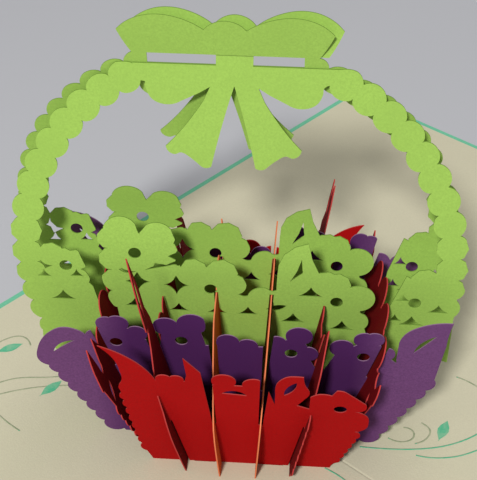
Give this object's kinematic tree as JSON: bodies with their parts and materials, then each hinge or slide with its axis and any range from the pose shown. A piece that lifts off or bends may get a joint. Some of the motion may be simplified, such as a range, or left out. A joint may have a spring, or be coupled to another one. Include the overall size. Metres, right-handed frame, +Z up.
{
  "type": "greeting card",
  "caption": "Open pop-up greeting card: flat folded cover with a slotted paper flower basket, bead-chain handle and bow standing on its inside.",
  "frame": {"origin": "middle of the open card on its underside, below the middle of the basket", "axes": "+X along the long sheets of the basket, to the right as seen from in front, +Y away from the viewer, +Z up"},
  "size_m": [0.3018, 0.3234, 0.1113],
  "materials": {
    "teal_card": "matt coloured paper",
    "cream_paper": "matt coloured paper",
    "green_paper": "matt coloured paper",
    "purple_paper": "matt coloured paper",
    "red_paper": "matt coloured paper",
    "orange_paper": "matt coloured paper",
    "deep_red_paper": "matt coloured paper"
  },
  "bodies": {
    "root": {"outer_cover": "teal_card", "inner_liner": "cream_paper", "green_front_sheet": "green_paper", "green_back_sheet": "green_paper", "purple_front_sheet": "purple_paper", "purple_back_sheet": "purple_paper", "red_front_sheet": "red_paper", "red_back_sheet": "red_paper", "orange_left_sheet": "orange_paper", "orange_right_sheet": "orange_paper", "deep_left_sheet": "deep_red_paper", "deep_right_sheet": "deep_red_paper", "outer_left_sheet": "deep_red_paper", "outer_right_sheet": "deep_red_paper"}
  },
  "joints": []
}
